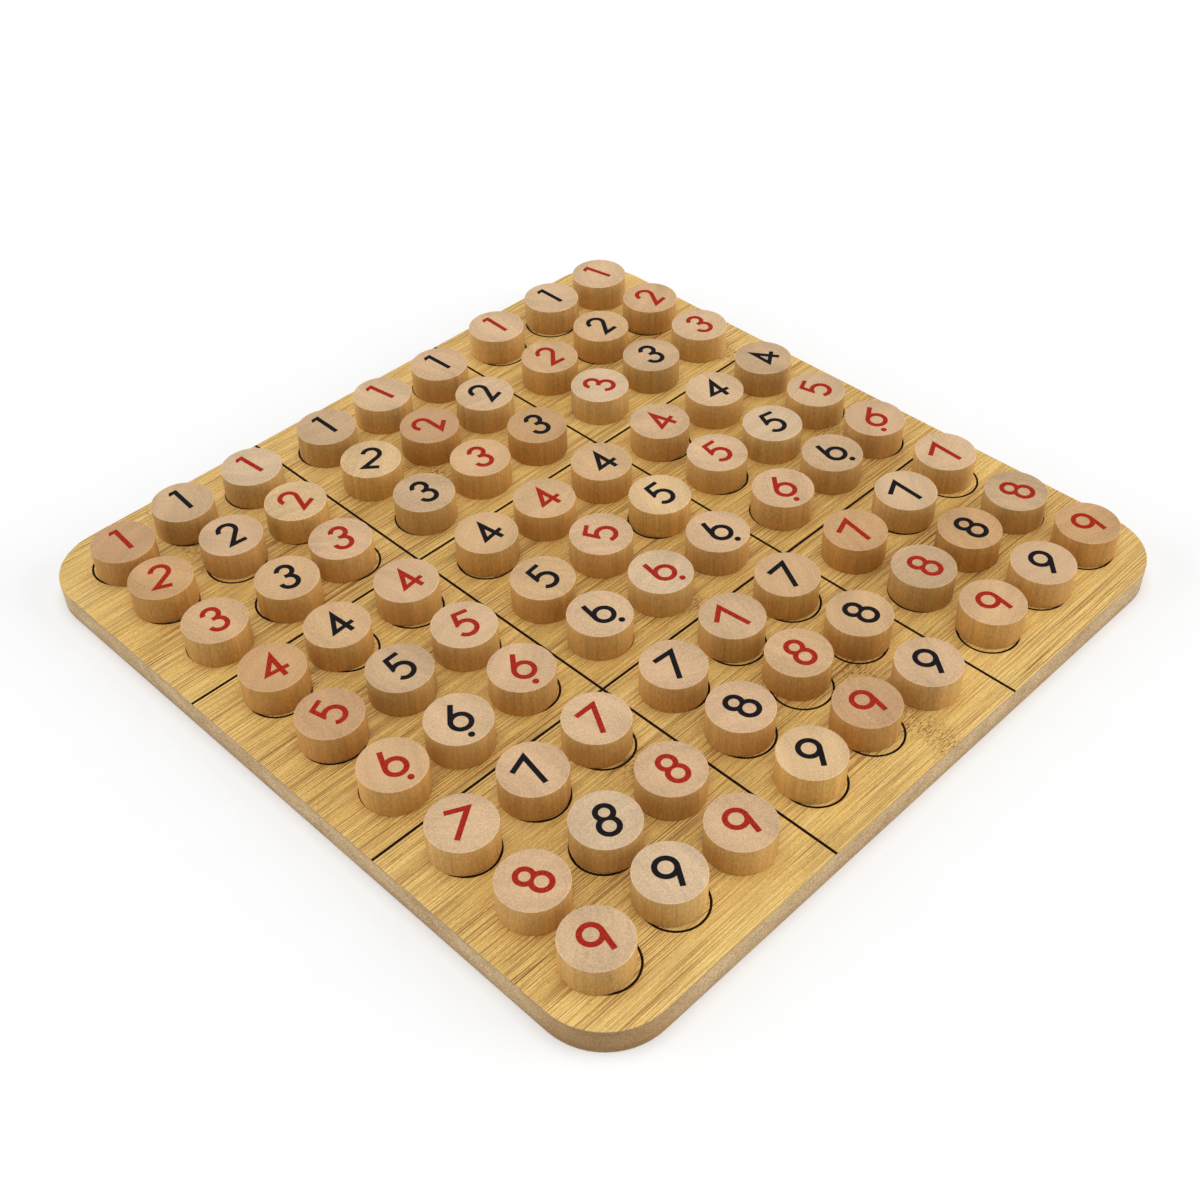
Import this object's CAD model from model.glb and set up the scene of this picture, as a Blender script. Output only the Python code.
import math
import random

import bpy
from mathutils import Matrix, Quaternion, Vector
from mathutils.geometry import delaunay_2d_cdt


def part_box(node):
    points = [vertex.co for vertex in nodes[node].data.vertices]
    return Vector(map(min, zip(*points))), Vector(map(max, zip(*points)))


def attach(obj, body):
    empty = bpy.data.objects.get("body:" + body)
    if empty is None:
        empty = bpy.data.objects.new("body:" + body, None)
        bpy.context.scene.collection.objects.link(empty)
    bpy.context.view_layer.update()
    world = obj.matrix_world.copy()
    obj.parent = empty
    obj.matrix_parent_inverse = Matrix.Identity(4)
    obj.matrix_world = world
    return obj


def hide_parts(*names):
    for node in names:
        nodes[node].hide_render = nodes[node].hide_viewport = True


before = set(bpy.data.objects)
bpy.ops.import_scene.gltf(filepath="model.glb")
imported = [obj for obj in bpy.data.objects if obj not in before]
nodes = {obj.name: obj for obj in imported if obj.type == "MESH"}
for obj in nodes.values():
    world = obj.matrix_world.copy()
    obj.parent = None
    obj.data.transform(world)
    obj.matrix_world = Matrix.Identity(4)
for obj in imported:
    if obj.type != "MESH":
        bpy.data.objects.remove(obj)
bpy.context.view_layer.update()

# BOTTOM VENEER
# A half-millimetre sheet of bamboo glued under the core, so that both faces draw alike and the board stays flat.
# It is pressed from strips laid side by side, sanded and sealed, and seen only when the board is lifted.

MM = 0.001
# How far along each strip's grain is from its neighbour's, in millimetres, so that no line runs on across a joint
STRIP_STEP = 173.0
# The stretch of board over which the knuckles scatter, how far one wanders across its strip, and how far from its
# middle it starts and is full, all in millimetres
KNUCKLE_SPAN, KNUCKLE_WANDER, KNUCKLE_START, KNUCKLE_FULL = 240.0, 14.0, 8.0, 1.0
FIBRE_RELIEF = 0.03 * MM


def add(tree, kind, inputs=(), **settings):
    """Adds a node: settings are its properties, inputs gives values or linked outputs by socket name or number."""
    made = tree.nodes.new(kind)
    for name, value in settings.items():
        setattr(made, name, value)
    for name, value in dict(inputs).items():
        linked = value if isinstance(value, list) else [value]
        for source in linked:
            if isinstance(source, bpy.types.NodeSocket):
                tree.links.new(source, made.inputs[name])
            else:
                made.inputs[name].default_value = source
    return made.outputs


def maths(tree, operation, *terms, clamp=False):
    """A number worked out from one to three others."""
    return add(tree, "ShaderNodeMath", dict(enumerate(terms)), operation=operation, use_clamp=clamp)[0]


def paint(red, green, blue):
    """A colour as a paint card gives it, 0 to 255, in the form that a shader takes."""
    levels = [c / 255 for c in (red, green, blue)]
    return tuple(c / 12.92 if c <= 0.04045 else ((c + 0.055) / 1.055) ** 2.4 for c in levels) + (1,)


def shades(tree, level, *stops):
    """Colours laid along a level from 0 to 1, each stop a place and a colour."""
    ramp = tree.nodes.new("ShaderNodeValToRGB")
    tree.links.new(level, ramp.inputs[0])
    while len(ramp.color_ramp.elements) < len(stops):
        ramp.color_ramp.elements.new(0.5)
    for element, (place, colour) in zip(ramp.color_ramp.elements, stops):
        element.position, element.color = place, colour
    return ramp.outputs[0]


def stained(tree, amount, below, above):
    """One colour over another by an amount from 0 to 1."""
    return add(tree, "ShaderNodeMix", {0: amount, 6: below, 7: above}, data_type="RGBA")[2]


def stretched(tree, place, scale, detail=3, roughness=0.55):
    """Noise at a place in millimetres, with its cycles to a millimetre along each axis."""
    drawn = add(tree, "ShaderNodeVectorMath", {0: place, 1: scale}, operation="MULTIPLY")[0]
    return add(tree, "ShaderNodeTexNoise", {"Vector": drawn, "Scale": 1, "Detail": detail, "Roughness": roughness})[0]


def contrast(tree, level, low, high):
    """A level pulled out to run from 0 at low to 1 at high."""
    return add(tree, "ShaderNodeMapRange", {0: level, 1: low, 2: high}, interpolation_type="SMOOTHSTEP")[0]


def layered(tree, level, *layers):
    """A level with layers added to it, each a pattern and its weight."""
    for pattern, weight in layers:
        level = maths(tree, "MULTIPLY_ADD", pattern, weight, level)
    return level


def board_place(tree):
    """Where a point of the board is."""
    return add(tree, "ShaderNodeTexCoord")["Object"]


def millimetres(tree, place):
    """A place in metres, in millimetres."""
    return add(tree, "ShaderNodeVectorMath", {0: place, 1: (1 / MM,) * 3}, operation="MULTIPLY")[0]


def facing_up(tree):
    """How squarely a face looks up or down, from 0 to 1."""
    normal = add(tree, "ShaderNodeNewGeometry")["Normal"]
    return maths(tree, "ABSOLUTE", add(tree, "ShaderNodeSeparateXYZ", {0: normal})[2])


def finish(name):
    """A new material, with its tree and its surface shader."""
    made = bpy.data.materials.new(name)
    made.use_nodes = True
    return made, made.node_tree, made.node_tree.nodes["Principled BSDF"]


def bump(tree, surface, height, depth):
    """Relief of a depth in metres on a surface."""
    normal = add(tree, "ShaderNodeBump", {"Strength": 1, "Distance": depth, "Height": height})[0]
    tree.links.new(normal, surface.inputs["Normal"])


def dress(node, material):
    """Gives a CAD node's object its finish."""
    slots = nodes[node].data.materials
    slots.clear()
    slots.append(material)


def bamboo(name, strip_w, first, lot):
    """Bamboo veneer, fibres along X, in strips strip_w millimetres wide from first, each with a tone and a knuckle."""
    made, tree, surface = finish(name)
    point = millimetres(tree, board_place(tree))
    x, y, _ = add(tree, "ShaderNodeSeparateXYZ", {0: point})
    strip = maths(tree, "FLOOR", maths(tree, "DIVIDE", maths(tree, "SUBTRACT", y, first), strip_w))
    chance = add(tree, "ShaderNodeTexWhiteNoise", {"W": maths(tree, "ADD", strip, lot)}, noise_dimensions="1D")
    tone, knuckle = chance["Value"], add(tree, "ShaderNodeSeparateColor", {0: chance["Color"]})["Green"]
    along = maths(tree, "MULTIPLY_ADD", strip, STRIP_STEP, x)
    laid = add(tree, "ShaderNodeCombineXYZ", {0: along, 1: y})[0]

    # The ground, from broad bands down to single fibres and the marks of sanding
    bands = stretched(tree, laid, (0.006, 0.35, 1))
    streaks = stretched(tree, laid, (0.03, 1.7, 1), 4, 0.65)
    fibres = stretched(tree, laid, (0.1, 4.0, 1), 4, 0.7)
    sanding = stretched(tree, point, (0.9, 2.6, 1), 2, 0.6)
    level = layered(tree, 0.0, (bands, 0.2), (streaks, 0.26), (fibres, 0.65), (sanding, 0.35), (tone, 0.06))
    colour = shades(tree, contrast(tree, level, 0.565, 0.955),
                    (0, paint(187, 139, 55)), (0.35, paint(218, 177, 94)), (0.65, paint(233, 196, 113)),
                    (1, paint(245, 214, 143)))

    # The dark vessels, long lines and short dashes, which crowd in patches
    lines = contrast(tree, stretched(tree, laid, (0.009, 3.1, 1), 1, 0.5), 0.565, 0.605)
    dashes = contrast(tree, stretched(tree, laid, (0.03, 3.8, 1), 1, 0.5), 0.58, 0.62)
    patches = contrast(tree, stretched(tree, laid, (0.012, 0.09, 1), 2), 0.38, 0.64)
    dense = layered(tree, 0.55, (tone, -0.15), (patches, 0.45))
    vessels = maths(tree, "MULTIPLY", maths(tree, "MAXIMUM", lines, dashes), dense)
    colour = stained(tree, vessels, colour, paint(136, 82, 26))

    # The knuckle across each strip, a ragged belt of dark flecks
    off = maths(tree, "SUBTRACT", x, maths(tree, "MULTIPLY", maths(tree, "SUBTRACT", knuckle, 0.5), KNUCKLE_SPAN))
    wander = maths(tree, "SUBTRACT", stretched(tree, point, (0, 0.25, 1), 2), 0.5)
    off = maths(tree, "ABSOLUTE", maths(tree, "MULTIPLY_ADD", wander, KNUCKLE_WANDER, off))
    belt = contrast(tree, off, KNUCKLE_START, KNUCKLE_FULL)
    flecks = contrast(tree, stretched(tree, point, (0.6, 1.9, 1), 3, 0.7), 0.5, 0.58)
    flecks = maths(tree, "MULTIPLY_ADD", flecks, 0.88, 0.06)
    colour = stained(tree, maths(tree, "MULTIPLY", belt, flecks), colour, paint(134, 82, 28))

    # The sheet's cut edge, which has the core's dust in it
    colour = stained(tree, contrast(tree, facing_up(tree), 0.8, 0.3), colour, paint(166, 136, 96))
    tree.links.new(colour, surface.inputs["Base Color"])
    tree.links.new(maths(tree, "MULTIPLY_ADD", streaks, -0.16, 0.6), surface.inputs["Roughness"])
    bump(tree, surface, maths(tree, "SUBTRACT", fibres, vessels), FIBRE_RELIEF)
    return made


dress("bottom_veneer", bamboo("bamboo_underside", strip_w=24.0, first=-7.0, lot=48.1))

# BOARD CORE
# One square plate of fibreboard, eight millimetres thick, sawn to shape with round corners and sanded on the edge.
# Pressed wood fibre: the edge is an even, fine mottle, darker towards the table and round the near left corner.

# Share of the half thickness, down from the middle, at which the edge starts to darken
SKIN_START = 0.2
# Where the darker corner starts and is full: the sum of x and y, in millimetres
CORNER_START, CORNER_FULL = -218.0, -241.0
SANDED_RELIEF = 0.06 * MM

fibreboard, tree, surface = finish("sanded_fibreboard")
point = millimetres(tree, board_place(tree))
x, y, height = add(tree, "ShaderNodeSeparateXYZ", {0: point})
speckle = stretched(tree, point, (1.9, 1.9, 2.3), 3, 0.7)
clouds = stretched(tree, point, (0.09, 0.09, 0.2))
level = layered(tree, 0.0, (speckle, 0.75), (clouds, 0.25))
colour = shades(tree, contrast(tree, level, 0.31, 0.69),
                (0, paint(152, 124, 90)), (0.45, paint(196, 166, 124)), (1, paint(230, 202, 160)))
core_low, core_high = (corner.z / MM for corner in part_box("board_core"))
half = (core_high - core_low) / 2
below = maths(tree, "SUBTRACT", core_low + half, height)
skin = contrast(tree, below, half * SKIN_START, half)
colour = stained(tree, maths(tree, "MULTIPLY", skin, 0.35), colour, paint(146, 118, 84))
turned = contrast(tree, maths(tree, "ADD", x, y), CORNER_START, CORNER_FULL)
colour = stained(tree, maths(tree, "MULTIPLY", turned, 0.53), colour, paint(143, 100, 40))
tree.links.new(colour, surface.inputs["Base Color"])
surface.inputs["Roughness"].default_value = 0.8
surface.inputs["Specular IOR Level"].default_value = 0.25
bump(tree, surface, speckle, SANDED_RELIEF)
dress("board_core", fibreboard)

# TOP VENEER
# The playing face: a half-millimetre sheet of bamboo strips like the one below, glued on and sanded, with its
# arris just eased. Its fibres run along the player's edge, and it carries the printed grid.

dress("top_veneer", bamboo("bamboo_playing_face", strip_w=21.0, first=-1.0, lot=673.4))

# BLOCK LINES
# Four black lines, two each way, screen printed from edge to edge of the veneer to part the board into nine blocks.
# The ink has soaked in and lies flush, a little broken where the fibres stand up through it.


def ink(name, thin, full, place):
    """Printing ink on wood: mottled between its thin and its full colour, by the place of each point."""
    made, tree, surface = finish(name)
    mottle = stretched(tree, millimetres(tree, place(tree)), (2.2, 2.2, 2.2))
    colour = shades(tree, contrast(tree, mottle, 0.3, 0.7), (0, thin), (1, full))
    tree.links.new(colour, surface.inputs["Base Color"])
    tree.links.new(maths(tree, "MULTIPLY_ADD", mottle, 0.25, 0.55), surface.inputs["Roughness"])
    surface.inputs["Specular IOR Level"].default_value = 0.02
    return made


grid_ink = ink("grid_ink", paint(44, 28, 20), paint(18, 10, 8), board_place)
dress("block_lines", grid_ink)

# CELL RINGS
# One thin black ring printed for each of the 81 cells, in the same ink as the lines and just as flush.
# Nine blocks of nine, closer together inside a block than across a block line.

RING_D, RING_W, RING_T = 19.2 * MM, 0.7 * MM, 0.15 * MM
BLOCK_PITCH, CELL_PITCH = 81.5 * MM, 25.5 * MM
# Blocks along the board, and cells along a block
SIDE = 3
RING_STEPS = 72


def inlets(tree, kinds):
    """Gives a geometry tree its named inputs, each of a kind, and returns the identifiers that a modifier sets."""
    return {name: tree.interface.new_socket(name, in_out="INPUT", socket_type=f"NodeSocket{kind}").identifier
            for name, kind in kinds.items()}


def grown(name, data, tree, identifiers, values):
    """A plain mesh made by a geometry tree on the data, with the tree's named inputs set to values."""
    made = bpy.data.objects.new(name, data)
    bpy.context.scene.collection.objects.link(made)
    modifier = made.modifiers.new("growth", "NODES")
    modifier.node_group = tree
    for inlet, value in values.items():
        modifier[identifiers[inlet]] = value
    scene_now = bpy.context.evaluated_depsgraph_get()
    made.data = bpy.data.meshes.new_from_object(made.evaluated_get(scene_now))
    made.modifiers.clear()
    made.data.name = name
    if made.data.materials[0] is None:
        made.data.materials.pop(index=0)
    return made


rings_tree = bpy.data.node_groups.new("cell_rings", "GeometryNodeTree")
ring_inlets = inlets(rings_tree, {
    "Ring Diameter": "Float", "Ring Width": "Float", "Ink Depth": "Float", "Block Pitch": "Float",
    "Cell Pitch": "Float", "Top": "Float", "Ink": "Material"})
rings_tree.interface.new_socket("Rings", in_out="OUTPUT", socket_type="NodeSocketGeometry")
sizes = add(rings_tree, "NodeGroupInput")
middle_d = maths(rings_tree, "SUBTRACT", sizes["Ring Diameter"], sizes["Ring Width"])
circle = add(rings_tree, "GeometryNodeCurvePrimitiveCircle", {
    "Resolution": RING_STEPS, "Radius": maths(rings_tree, "MULTIPLY", middle_d, 0.5)})["Curve"]
section = add(rings_tree, "GeometryNodeCurvePrimitiveQuadrilateral",
              {"Width": sizes["Ring Width"], "Height": sizes["Ink Depth"]})["Curve"]
ring = add(rings_tree, "GeometryNodeCurveToMesh", {"Curve": circle, "Profile Curve": section})["Mesh"]
for pitch in ("Cell Pitch", "Block Pitch"):
    span = maths(rings_tree, "MULTIPLY", sizes[pitch], SIDE - 1)
    places = add(rings_tree, "GeometryNodeMeshGrid",
                 {"Size X": span, "Size Y": span, "Vertices X": SIDE, "Vertices Y": SIDE})["Mesh"]
    ring = add(rings_tree, "GeometryNodeInstanceOnPoints", {"Points": places, "Instance": ring})["Instances"]
depth = maths(rings_tree, "MULTIPLY_ADD", sizes["Ink Depth"], -0.5, sizes["Top"])
ring = add(rings_tree, "GeometryNodeTransform",
           {"Geometry": ring, "Translation": add(rings_tree, "ShaderNodeCombineXYZ", {2: depth})[0]})["Geometry"]
ring = add(rings_tree, "GeometryNodeRealizeInstances", {"Geometry": ring})["Geometry"]
ring = add(rings_tree, "GeometryNodeSetMaterial", {"Geometry": ring, "Material": sizes["Ink"]})["Geometry"]
add(rings_tree, "NodeGroupOutput", {"Rings": ring})

rings = grown("printed_rings", bpy.data.meshes.new("printed_rings"), rings_tree, ring_inlets, {
    "Ring Diameter": RING_D, "Ring Width": RING_W, "Ink Depth": RING_T, "Block Pitch": BLOCK_PITCH,
    "Cell Pitch": CELL_PITCH, "Top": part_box("top_veneer")[1].z, "Ink": grid_ink})
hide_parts("cell_rings")
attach(rings, "board")

# NUMBER DISCS
# 81 slices of a round dowel, sanded, with eased arrises and the end grain up, nine of each digit. The digit is
# printed on the end grain in a film of red or black ink. They stand loose on their rings, turned every way.

# A disc's size, the thickness of the ink on it, the width of the digits' strokes and the outer radius of the ring of a
# 6 or 9, all in millimetres
DISC_D, DISC_H, DISC_ARRIS = 20.0, 10.0, 0.3
FILM, STROKE, BOWL_R = 0.03, 1.6, 3.75
# Steps round the rim and over an arris, and degrees to a step of a digit's curves
RIM_STEPS, ARRIS_STEPS, ARC_STEP = 96, 5, 6
# Points of a disc closer than this, in millimetres, are one. Points farther apart than CLEAR are on two discs.
WELD, CLEAR = 0.001, 3.0
# How far each disc is turned to the left, in degrees, a row for each digit and a number for each column
TURNS = {
    1: (-4, -4, 5, 0, 9, 3, -2, 0, 11),
    2: (-26, -6, 22, -42, 40, 15, -5, 3, 7),
    3: (-2, -13, -14, 0, -8, -8, 37, -8, -4),
    4: (-7, 4, 7, 8, 4, 2, 16, -9, 34),
    5: (24, 2, -14, 7, 37, 0, -2, -12, 24),
    6: (5, -11, -9, 21, 20, 12, -13, 15, -28),
    7: (-27, 19, 0, -4, 35, 2, 19, 25, 26),
    8: (24, -29, -7, 18, -9, 17, 12, 5, 22),
    9: (15, -4, 14, -10, 18, -8, 21, -17, 18),
}
# Most of the discs are cut from sticks of three like tones. The ones that stand out, by digit and column, come
# from a yellow, a grey, an orange, an umber and a pale stick.
COMMON_STICKS = paint(207, 174, 136), paint(202, 165, 122), paint(204, 169, 131)
ODD_STICKS = {
    paint(214, 180, 134): ((2, 3), (2, 4), (5, 6), (9, 4)),
    paint(193, 161, 124): ((1, 2), (1, 4), (3, 4), (3, 8), (4, 9), (5, 2), (6, 8), (7, 5), (8, 7), (8, 9)),
    paint(194, 153, 107): ((2, 1), (3, 6), (4, 1), (7, 7), (8, 8), (9, 9)),
    paint(190, 150, 109): ((1, 1), (2, 5), (5, 1), (9, 5)),
    paint(208, 179, 144): ((1, 3), (3, 7), (5, 8), (6, 5), (8, 2), (9, 2)),
}


def arc(x, y, radius, start, end):
    """Points round a middle from one direction to another, in degrees."""
    steps = max(2, round(abs(end - start) / ARC_STEP))
    turns = [math.radians(start + (end - start) * i / steps) for i in range(steps + 1)]
    return [Vector((x + radius * math.cos(t), y + radius * math.sin(t))) for t in turns]


def pen(*path):
    """The outline of a stroke of the digits' width along a path, with square ends and mitred corners."""
    points = [Vector(p) for p in path]
    ways = [(b - a).normalized() for a, b in zip(points, points[1:])]
    left, right = [], []
    for i, p in enumerate(points):
        before, after = ways[max(i - 1, 0)], ways[min(i, len(ways) - 1)]
        across = (before.orthogonal() + after.orthogonal()).normalized()
        reach = STROKE / 2 / across.dot(after.orthogonal())
        left.append(p + across * reach)
        right.append(p - across * reach)
    return left + right[::-1]


def hoop(x, y, radius):
    """A closed circle."""
    return arc(x, y, radius, 0, 360)[:-1]


def six(x, y, way):
    """The ring and stem of a 6 about a middle, or of a 9 the other way up: its inked outlines and its hole."""
    touch = Vector((-2.56, 1.46)) * way + Vector((x, y))
    end = Vector((0.71, 7.19)) * way + Vector((x, y))
    return [hoop(x, y, BOWL_R), pen(touch, end)], [hoop(x, y, BOWL_R - STROKE)]


# Inked outlines and holes of each digit, in millimetres from the disc's middle
DIGITS = {
    1: ([[(-1.15, 6.6), (1.6, 6.6), (1.6, -4.6), (0, -4.6), (0, 5.1), (-1.85, 4.95)]], []),
    2: ([pen(*arc(0.05, 2.55, 2.75, 180, -38), (-1.97, -4.5), (3, -4.5))], []),
    3: ([pen(*arc(0.4, 2.85, 2.35, 170, -90), (-0.5, 0.5)),
         pen((-0.5, 0.5), *arc(-0.05, -2.15, 2.65, 90, -180))], []),
    4: ([[(2.35, 6.1), (2.35, -1.6), (4.1, -1.6), (4.1, -3.05), (2.35, -3.05), (2.35, -5.35), (0.75, -5.35),
          (0.75, -3.05), (-4.35, -3.05)]], [[(0.75, 1.38), (-1.43, -1.6), (0.75, -1.6)]]),
    5: ([[(-1.6, 5.7), (3.4, 5.7), (3.4, 4.25), (-0.35, 4.25), (-0.95, 1.1), (-1.38, 0.17), (-1.9, -0.2),
          (-2.75, -0.15)], pen(*arc(0, -1.6, 3.05, 128, -147))], []),
    6: six(0, -1.35, 1),
    7: ([pen((-3.75, 4.3), (2.8, 4.3), (-2.65, -5.4))], []),
    8: ([hoop(0.25, 2.3, 3.2), hoop(0.3, -2.4, 3.55)], [hoop(0.25, 2.3, 1.6), hoop(0.3, -2.4, 1.95)]),
    9: six(0.15, 1.65, -1),
}
# The dot that tells a 6 from a 9
DIGITS[6][0].append(hoop(0, -7.1, 1))


def rim_of_face():
    """The edge of the disc's flat upper face."""
    turns = [2 * math.pi * i / RIM_STEPS for i in range(RIM_STEPS)]
    return [Vector((math.cos(t), math.sin(t))) * (DISC_D / 2 - DISC_ARRIS) for t in turns]


def printed_face(digit):
    """The disc's upper face in the plane, cut along the digit's outlines, with its inked faces marked."""
    outlines, holes = DIGITS[digit]
    points, faces = [], []
    for loop in (rim_of_face(), *outlines, *holes):
        loop = [Vector(p) for p in loop]
        if sum(a.cross(b) for a, b in zip(loop, loop[1:] + loop[:1])) < 0:
            loop.reverse()
        faces.append(list(range(len(points), len(points) + len(loop))))
        points += loop
    corners, _, triangles, _, _, sources = delaunay_2d_cdt(points, [], faces, 1, 1e-5)
    first_hole = 1 + len(outlines)
    mesh = bpy.data.meshes.new(f"printed_face_{digit}")
    mesh.from_pydata([(*(p * MM), 0) for p in corners], [], triangles)
    inked = [any(0 < s < first_hole for s in src) and not any(s >= first_hole for s in src) for src in sources]
    mesh.attributes.new("inked", "BOOLEAN", "FACE").data.foreach_set("value", inked)
    return mesh


discs_tree = bpy.data.node_groups.new("number_discs", "GeometryNodeTree")
discs_tree.interface.new_socket("Places", in_out="INPUT", socket_type="NodeSocketGeometry")
disc_inlets = inlets(discs_tree, {
    "Printed Face": "Object", "Diameter": "Float", "Height": "Float", "Arris": "Float", "Film": "Float",
    "Rim Steps": "Int", "Wood": "Material", "Ink": "Material"})
discs_tree.interface.new_socket("Discs", in_out="OUTPUT", socket_type="NodeSocketGeometry")
sizes = add(discs_tree, "NodeGroupInput")
wood_h = maths(discs_tree, "SUBTRACT", sizes["Height"], sizes["Film"])
shoulder = maths(discs_tree, "SUBTRACT", wood_h, sizes["Arris"])
flat_r = maths(discs_tree, "SUBTRACT", maths(discs_tree, "MULTIPLY", sizes["Diameter"], 0.5), sizes["Arris"])


def spot(height, out):
    """A point of the disc's section: its height, and how far it stands out from the flat face's edge."""
    return add(discs_tree, "ShaderNodeCombineXYZ", {0: out, 1: maths(discs_tree, "MULTIPLY", height, -1.0)})[0]


def eased(middle, start):
    """A quarter round of the section, from a direction in degrees."""
    quarter = add(discs_tree, "GeometryNodeCurveArc", {
        "Resolution": ARRIS_STEPS, "Radius": sizes["Arris"], "Start Angle": math.radians(start),
        "Sweep Angle": math.radians(90)})["Curve"]
    return add(discs_tree, "GeometryNodeTransform", {
        "Geometry": quarter, "Translation": spot(middle, 0.0)})["Geometry"]


rim = add(discs_tree, "GeometryNodeCurvePrimitiveCircle", {
    "Resolution": sizes["Rim Steps"], "Radius": flat_r})["Curve"]
straight = add(discs_tree, "GeometryNodeCurvePrimitiveLine", {
    "Start": spot(shoulder, sizes["Arris"]), "End": spot(sizes["Arris"], sizes["Arris"])})["Curve"]
section = add(discs_tree, "GeometryNodeJoinGeometry", {
    "Geometry": [eased(sizes["Arris"], 0), straight, eased(shoulder, 270)]})["Geometry"]
side = add(discs_tree, "GeometryNodeCurveToMesh", {"Curve": rim, "Profile Curve": section})["Mesh"]
side = add(discs_tree, "GeometryNodeSetShadeSmooth", {"Geometry": side, "Shade Smooth": True})["Geometry"]
foot = add(discs_tree, "GeometryNodeFlipFaces", {
    "Mesh": add(discs_tree, "GeometryNodeFillCurve", {"Curve": rim}, mode="NGONS")["Mesh"]})["Mesh"]
foot = add(discs_tree, "GeometryNodeSetShadeSmooth", {"Geometry": foot, "Shade Smooth": False})["Geometry"]
face = add(discs_tree, "GeometryNodeObjectInfo", {"Object": sizes["Printed Face"]})["Geometry"]
face = add(discs_tree, "GeometryNodeTransform", {
    "Geometry": face, "Translation": add(discs_tree, "ShaderNodeCombineXYZ", {2: wood_h})[0]})["Geometry"]
face = add(discs_tree, "GeometryNodeSetShadeSmooth", {"Geometry": face, "Shade Smooth": False})["Geometry"]
inked = add(discs_tree, "GeometryNodeInputNamedAttribute", {"Name": "inked"}, data_type="BOOLEAN")["Attribute"]
film, bare = add(discs_tree, "GeometryNodeSeparateGeometry", {"Geometry": face, "Selection": inked}, domain="FACE")
film = add(discs_tree, "GeometryNodeExtrudeMesh", {
    "Mesh": film, "Offset Scale": sizes["Film"], "Individual": False}, mode="FACES")["Mesh"]
film = add(discs_tree, "GeometryNodeStoreNamedAttribute", {
    "Geometry": film, "Name": "inked", "Value": True}, data_type="BOOLEAN", domain="FACE")["Geometry"]
disc = add(discs_tree, "GeometryNodeJoinGeometry", {"Geometry": [side, foot, bare, film]})["Geometry"]
disc = add(discs_tree, "GeometryNodeMergeByDistance", {"Geometry": disc, "Distance": WELD * MM})["Geometry"]
disc = add(discs_tree, "GeometryNodeStoreNamedAttribute", {
    "Geometry": disc, "Name": "dowel", "Value": add(discs_tree, "GeometryNodeInputPosition")[0]},
    data_type="FLOAT_VECTOR", domain="POINT")["Geometry"]
turn = add(discs_tree, "GeometryNodeInputNamedAttribute", {"Name": "turn"}, data_type="FLOAT")["Attribute"]
turn = add(discs_tree, "FunctionNodeEulerToRotation", {
    0: add(discs_tree, "ShaderNodeCombineXYZ", {2: turn})[0]})[0]
disc = add(discs_tree, "GeometryNodeInstanceOnPoints", {
    "Points": sizes["Places"], "Instance": disc, "Rotation": turn})["Instances"]
disc = add(discs_tree, "GeometryNodeRealizeInstances", {"Geometry": disc})["Geometry"]
disc = add(discs_tree, "GeometryNodeSetMaterial", {"Geometry": disc, "Material": sizes["Wood"]})["Geometry"]
disc = add(discs_tree, "GeometryNodeSetMaterial", {
    "Geometry": disc, "Selection": inked, "Material": sizes["Ink"]})["Geometry"]
add(discs_tree, "NodeGroupOutput", {"Discs": disc})

# A disc's lot is its place on the stock, in metres up to this. It also turns the growth rings, by these radians to a
# metre, which bend as 1 over twice their radius in metres.
STOCK_LENGTH, RINGS_TURN, RINGS_BEND = 9, 90.0, 15.0
# Distance from a disc's middle, in millimetres, at which fingers start to darken its face, and at which that is full
HANDLED_START, HANDLED_FULL = 4.0, 9.6
# What the side keeps of the end grain's colour
SIDE_TINT = (0.95, 0.84, 0.48, 1)
PORE_RELIEF = 0.03 * MM


def on_disc(tree):
    """Where a point is on its own disc."""
    return add(tree, "ShaderNodeAttribute", attribute_name="dowel")["Vector"]


def dowel_place(tree):
    """Where a point is in its own stick: across its growth rings, along them and up, moved on from disc to disc."""
    x, y, z = add(tree, "ShaderNodeSeparateXYZ", {0: on_disc(tree)})
    lot = add(tree, "ShaderNodeAttribute", attribute_name="lot")["Fac"]
    way = maths(tree, "MULTIPLY", lot, RINGS_TURN)
    cosine, sine = maths(tree, "COSINE", way), maths(tree, "SINE", way)
    across = maths(tree, "MULTIPLY_ADD", x, cosine, maths(tree, "MULTIPLY", y, sine))
    along = maths(tree, "SUBTRACT", maths(tree, "MULTIPLY", y, cosine), maths(tree, "MULTIPLY", x, sine))
    bent = maths(tree, "MULTIPLY_ADD", maths(tree, "MULTIPLY", along, along), RINGS_BEND, across)
    return add(tree, "ShaderNodeCombineXYZ", {
        0: maths(tree, "ADD", bent, lot), 1: along, 2: maths(tree, "ADD", z, lot)})[0]


dowel_wood, tree, surface = finish("dowel_wood")
point = millimetres(tree, dowel_place(tree))
upright = facing_up(tree)
end_grain = contrast(tree, upright, 0.15, 0.6)
side_grain = maths(tree, "SUBTRACT", 1.0, end_grain)
stock = add(tree, "ShaderNodeAttribute", attribute_name="stock")["Color"]
side_colour = add(tree, "ShaderNodeMix", {0: 1.0, 6: stock, 7: SIDE_TINT}, data_type="RGBA",
                  blend_type="MULTIPLY")[2]
colour = stained(tree, end_grain, side_colour, stock)
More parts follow.
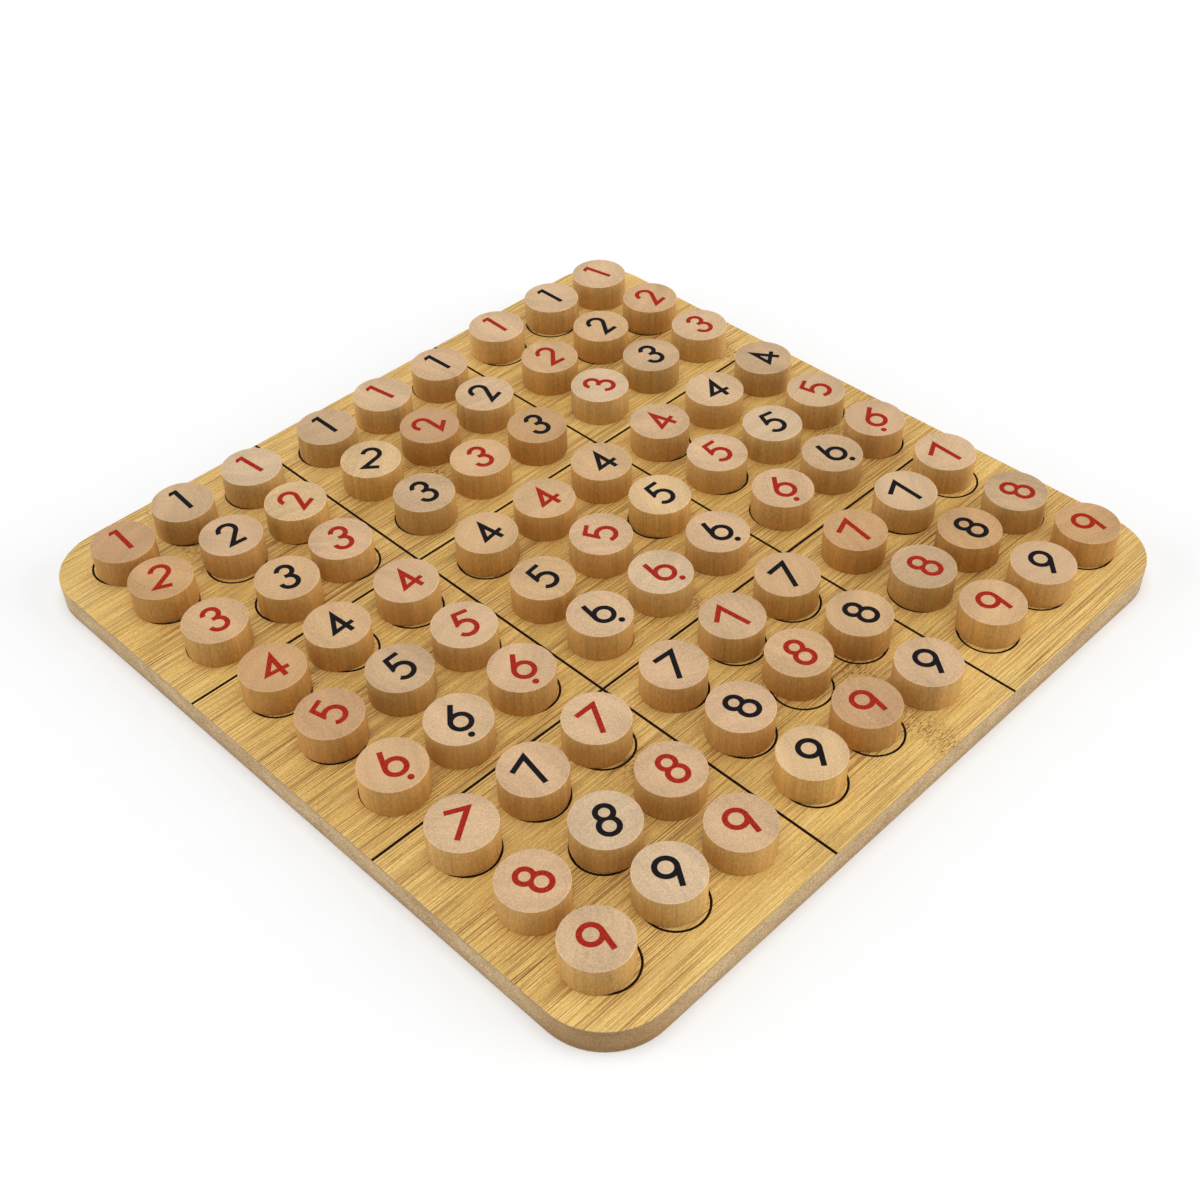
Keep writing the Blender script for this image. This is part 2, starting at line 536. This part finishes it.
# Growth rings, rays and pores, the fibres drawn along the side, the pale worn arris and the handled edge of the face
heart = stretched(tree, point, (0.09, 0.035, 0.004), 1, 0.5)
years = stretched(tree, point, (0.4, 0.025, 0.004), 4, 0.7)
rays = stretched(tree, point, (0.12, 1.7, 0.12), 3, 0.6)
pores = stretched(tree, point, (2.0, 2.0, 0.8), 3, 0.7)
fibres = stretched(tree, point, (1.3, 1.3, 0.04), 3, 0.7)
drawn = layered(tree, -0.425, (fibres, 0.5), (years, 0.35))
worn = maths(tree, "MULTIPLY", end_grain, contrast(tree, upright, 0.995, 0.9))
out = add(tree, "ShaderNodeVectorMath", {0: on_disc(tree), 1: (1 / MM, 1 / MM, 0)}, operation="MULTIPLY")[0]
out = add(tree, "ShaderNodeVectorMath", {0: out}, operation="LENGTH")["Value"]
handled = maths(tree, "MULTIPLY", end_grain, contrast(tree, out, HANDLED_START, HANDLED_FULL))
light = layered(tree, 0.01, (rays, 0.1), (years, 0.42), (heart, 0.45), (pores, 1.05), (drawn, side_grain),
                (worn, 0.2), (handled, -0.05))
light = add(tree, "ShaderNodeCombineXYZ", {0: light, 1: light, 2: light})[0]
colour = add(tree, "ShaderNodeVectorMath", {0: colour, 1: light}, operation="MULTIPLY")[0]
tree.links.new(colour, surface.inputs["Base Color"])
tree.links.new(maths(tree, "MULTIPLY_ADD", pores, 0.25, 0.48), surface.inputs["Roughness"])
surface.inputs["Specular IOR Level"].default_value = 0.3
bump(tree, surface, pores, PORE_RELIEF)

red_ink = ink("red_digits", paint(178, 54, 38), paint(146, 30, 20), dowel_place)
black_ink = ink("black_digits", paint(36, 33, 36), paint(17, 16, 19), dowel_place)


def standing_places(node):
    """The middle of each disc of a node, from left to right, on the board."""
    points = sorted((v.co.x, v.co.y, v.co.z) for v in nodes[node].data.vertices)
    groups = [[points[0]]]
    for before, after in zip(points, points[1:]):
        if after[0] - before[0] > CLEAR * MM:
            groups.append([])
        groups[-1].append(after)
    return [[(min(x) + max(x)) / 2, (min(y) + max(y)) / 2, min(z)] for x, y, z in (zip(*group) for group in groups)]


chance = random.Random(5)
draw = random.Random(8)
COLUMNS = range(1, SIDE * SIDE + 1)
sticks = {(digit, column): draw.choice(COMMON_STICKS) for digit in DIGITS for column in COLUMNS}
sticks.update({place: tone for tone, places in ODD_STICKS.items() for place in places})
printed = {}
for digit in DIGITS:
    printed[digit] = bpy.data.objects.new(f"printed_face_{digit}", printed_face(digit))
    bpy.context.scene.collection.objects.link(printed[digit])


def discs(name, node, digit, columns, colour):
    """The discs of one body: a digit printed on slices of dowel that stand where the node's do."""
    places = bpy.data.meshes.new(name)
    places.from_pydata(standing_places(node), [], [])
    turns = [math.radians(TURNS[digit][c - 1]) for c in columns]
    lots = [chance.uniform(0, STOCK_LENGTH) for c in columns]
    tones = [level for c in columns for level in sticks[digit, c]]
    places.attributes.new("turn", "FLOAT", "POINT").data.foreach_set("value", turns)
    places.attributes.new("lot", "FLOAT", "POINT").data.foreach_set("value", lots)
    places.attributes.new("stock", "FLOAT_COLOR", "POINT").data.foreach_set("color", tones)
    made = grown(name, places, discs_tree, disc_inlets, {
        "Printed Face": printed[digit], "Diameter": DISC_D * MM, "Height": DISC_H * MM, "Arris": DISC_ARRIS * MM,
        "Film": FILM * MM, "Rim Steps": RIM_STEPS, "Wood": dowel_wood, "Ink": colour})
    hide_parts(node)
    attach(made, node)


for digit in DIGITS:
    reds = [c for c in COLUMNS if f"red_disc_{digit}_column_{c}" in nodes]
    for column in reds:
        discs(f"red_{digit}_column_{column}", f"red_disc_{digit}_column_{column}", digit, [column], red_ink)
    discs(f"black_{digit}", f"black_discs_{digit}", digit, [c for c in COLUMNS if c not in reds], black_ink)
for face_object in printed.values():
    bpy.data.objects.remove(face_object)

# FLOOR, LIGHT AND CAMERA
# A white table in a light tent: an even white surround, a broad soft light overhead and one on either hand, the right
# one a little stronger and warmer, and the camera at the photograph's place before the board's near left corner.

# Half the table's side and how far it lies under the board, in metres, and the share of what is seen of the table that
# is white whatever its light
TABLE_HALF, TABLE_DROP, TABLE_GLOW = 8, 0.1 * MM, 0.25
# The surround's light on the board. Where the surround itself is seen, its strength is 1.
AROUND = 0.28

floor = bpy.data.objects.new("floor", bpy.data.meshes.new("floor"))
corners = [(x * TABLE_HALF, y * TABLE_HALF, -TABLE_DROP) for x, y in ((-1, -1), (1, -1), (1, 1), (-1, 1))]
floor.data.from_pydata(corners, [], [(0, 1, 2, 3)])
bpy.context.scene.collection.objects.link(floor)
table, tree, surface = finish("white_table")
surface.inputs["Roughness"].default_value = 1
surface.inputs["Specular IOR Level"].default_value = 0


def seen_white(tree):
    """1 on the rays that show the surround itself: the camera's, and those in a reflection or through glass."""
    ray = add(tree, "ShaderNodeLightPath")
    return maths(tree, "MAXIMUM", ray["Is Camera Ray"],
                 maths(tree, "MAXIMUM", ray["Is Glossy Ray"], ray["Is Transmission Ray"]))


seen = seen_white(tree)
table_colour = stained(tree, seen, (0.8, 0.8, 0.8, 1), (0.98, 0.99, 1, 1))
tree.links.new(table_colour, surface.inputs["Base Color"])
glow = add(tree, "ShaderNodeEmission")[0]
mixed = add(tree, "ShaderNodeMixShader", {
    0: maths(tree, "MULTIPLY", seen, TABLE_GLOW), 1: surface.outputs[0], 2: glow})[0]
tree.links.new(mixed, tree.nodes["Material Output"].inputs["Surface"])
floor.data.materials.append(table)

world = bpy.data.worlds.new("light_tent")
bpy.context.scene.world = world
world.use_nodes = True
tree = world.node_tree
backdrop = tree.nodes["Background"]
backdrop.inputs["Color"].default_value = (1, 1, 1, 1)
tree.links.new(maths(tree, "MULTIPLY_ADD", seen_white(tree), 1 - AROUND, AROUND), backdrop.inputs["Strength"])

# Each light's strength, the angle in degrees that it spreads over, its tint and the way that it shines
for name, strength, spread, tint, way in (
        ("overhead_light", 1.52, 55, (1, 1, 1), (0, 0, -1)),
        ("left_light", 1.3, 50, (1, 1, 1), (0.715, -0.645, -0.27)),
        ("right_light", 1.7, 50, (1, 0.98, 0.94), (-0.645, 0.715, -0.27))):
    lamp = bpy.data.objects.new(name, bpy.data.lights.new(name, "SUN"))
    lamp.data.energy, lamp.data.color, lamp.data.angle = strength, tint, math.radians(spread)
    lamp.rotation_mode = "QUATERNION"
    lamp.rotation_quaternion = Vector(way).to_track_quat("-Z", "Y")
    bpy.context.scene.collection.objects.link(lamp)

# The point that the camera looks at, its direction and distance from there and its tilt, with angles in degrees
AIM = Vector((-7.58, -6.61, 0)) * MM
AZIMUTH, ELEVATION, DISTANCE, ROLL = 225.6, 42.96, 512.8 * MM, -1.31
LENS, SENSOR = 48.88, 36
NEAREST, FARTHEST = 0.01, 50
around, up = math.radians(AZIMUTH), math.radians(ELEVATION)
back = Vector((math.cos(around) * math.cos(up), math.sin(around) * math.cos(up), math.sin(up)))
camera = bpy.data.objects.new("camera", bpy.data.cameras.new("camera"))
camera.data.lens, camera.data.sensor_width = LENS, SENSOR
camera.data.clip_start, camera.data.clip_end = NEAREST, FARTHEST
camera.location = AIM + back * DISTANCE
camera.rotation_mode = "QUATERNION"
camera.rotation_quaternion = (-back).to_track_quat("-Z", "Y") @ Quaternion((0, 0, 1), math.radians(ROLL))
bpy.context.scene.collection.objects.link(camera)
bpy.context.scene.camera = camera
bpy.context.scene.view_settings.view_transform = "Standard"
